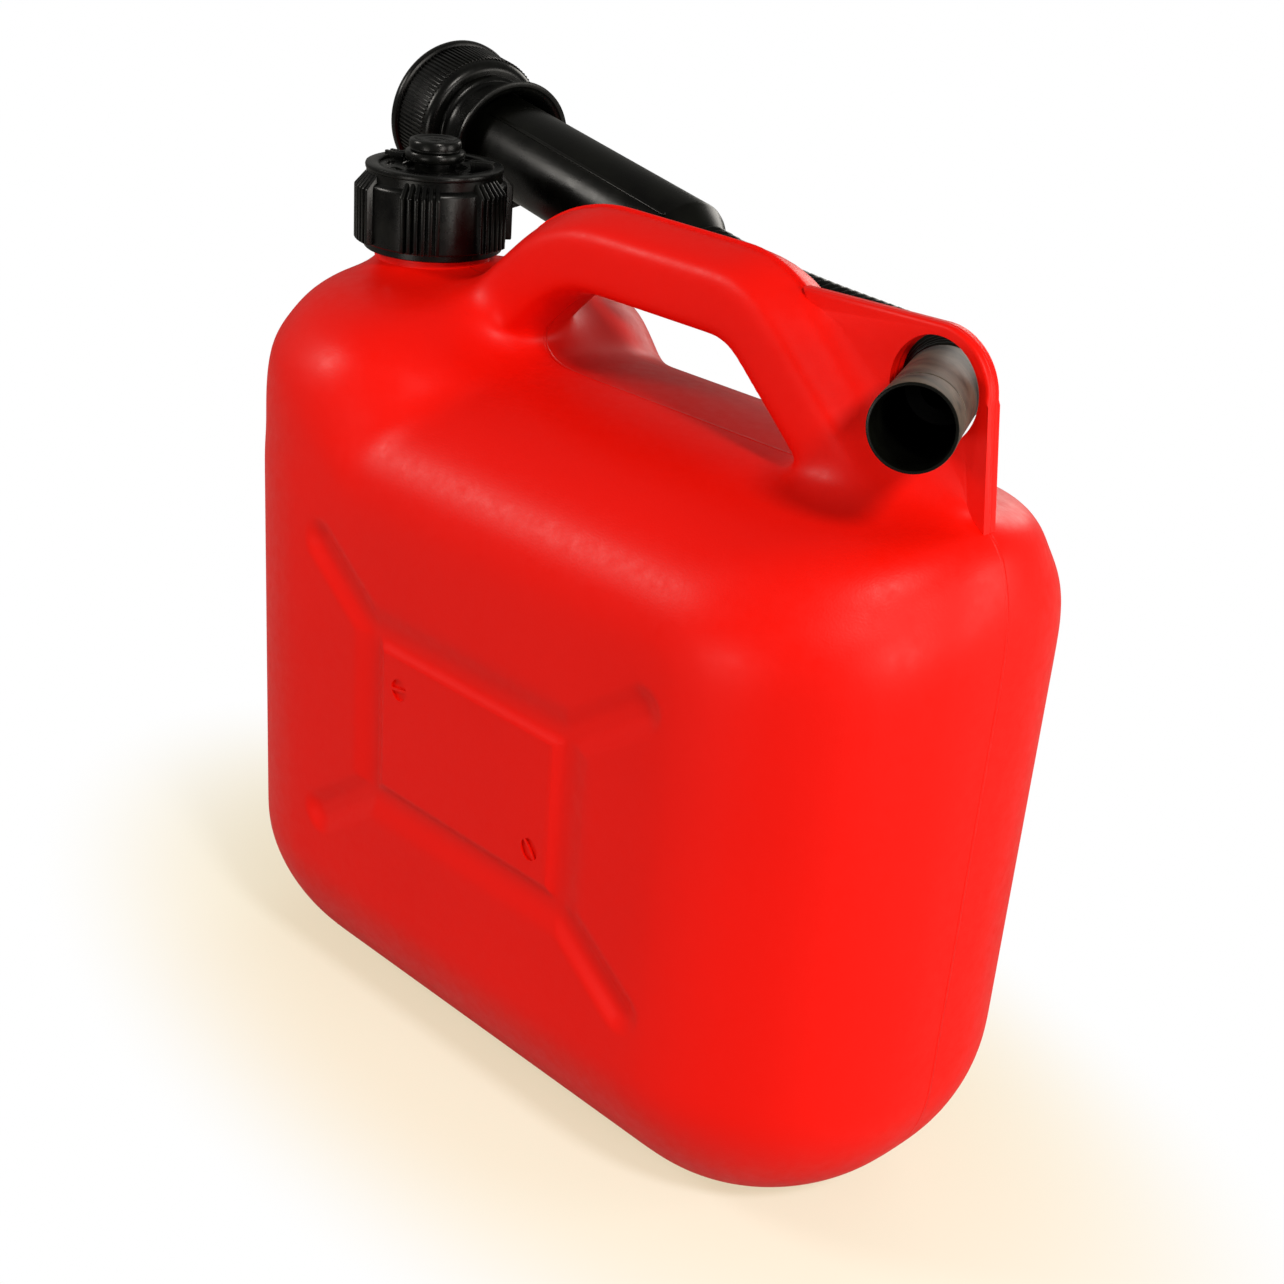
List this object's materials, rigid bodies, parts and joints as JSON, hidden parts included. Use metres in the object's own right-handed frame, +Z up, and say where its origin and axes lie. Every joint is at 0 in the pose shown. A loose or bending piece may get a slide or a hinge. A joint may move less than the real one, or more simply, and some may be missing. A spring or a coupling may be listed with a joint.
{
  "type": "plastic fuel canister",
  "caption": "Upright plastic fuel canister with arched handle, screw cap and a flexible pouring spout stored behind the handle in a fin.",
  "frame": {"origin": "middle of the flat base, on the surface the canister stands on", "axes": "+Z up; X along the canister's length, filler neck at -X and storage fin at +X; the stored spout lies on the +Y side and its tip points towards -Y"},
  "size_m": [0.2949, 0.1456, 0.2836],
  "materials": {
    "red_plastic": "satin red blow-moulded polyethylene with a fine grain",
    "black_cap_plastic": "semi-gloss black injection-moulded plastic",
    "black_spout_plastic": "semi-gloss black polyethylene, dusty at the tip",
    "grey_rubber": "matt grey sealing ring"
  },
  "bodies": {
    "canister": {"canister_body": "red_plastic"},
    "cap_seal": {"cap_gasket": "grey_rubber"},
    "cap": {"filler_cap": "black_cap_plastic"},
    "vent": {"vent_plug": "black_cap_plastic"},
    "spout": {"spout_adaptor": "black_cap_plastic", "spout_gasket": "grey_rubber", "spout_tube": "black_spout_plastic", "flex_hose": "black_spout_plastic", "spout_tip": "black_spout_plastic"},
    "nut": {"spout_nut": "black_cap_plastic"}
  },
  "joints": [
    {"name": "cap_lift", "type": "slide", "parent": "canister", "child": "cap_seal", "axis": [0, 0, 1], "range_m": [0, 0.0091]},
    {"name": "cap_turn", "type": "hinge", "parent": "cap_seal", "child": "cap", "pos_m": [-0.095, 0, 0.251], "axis": [0, 0, 1], "range_deg": [0, 720]},
    {"name": "vent_pull", "type": "slide", "parent": "cap", "child": "vent", "axis": [0, 0, 1], "range_m": [0, 0.004]},
    {"name": "spout_withdraw", "type": "slide", "parent": "canister", "child": "spout", "axis": [-0.4807, 0.8744, -0.0663], "range_m": [0, 0.06]},
    {"name": "nut_turn", "type": "hinge", "parent": "spout", "child": "nut", "pos_m": [-0.156, 0.0565, 0.2595], "axis": [0.9829, -0.1337, -0.1265], "continuous": true}
  ],
  "couplings": [
    {"joint": "cap_lift", "follows": "cap_turn", "m_per_rad": 0.0007162}
  ]
}
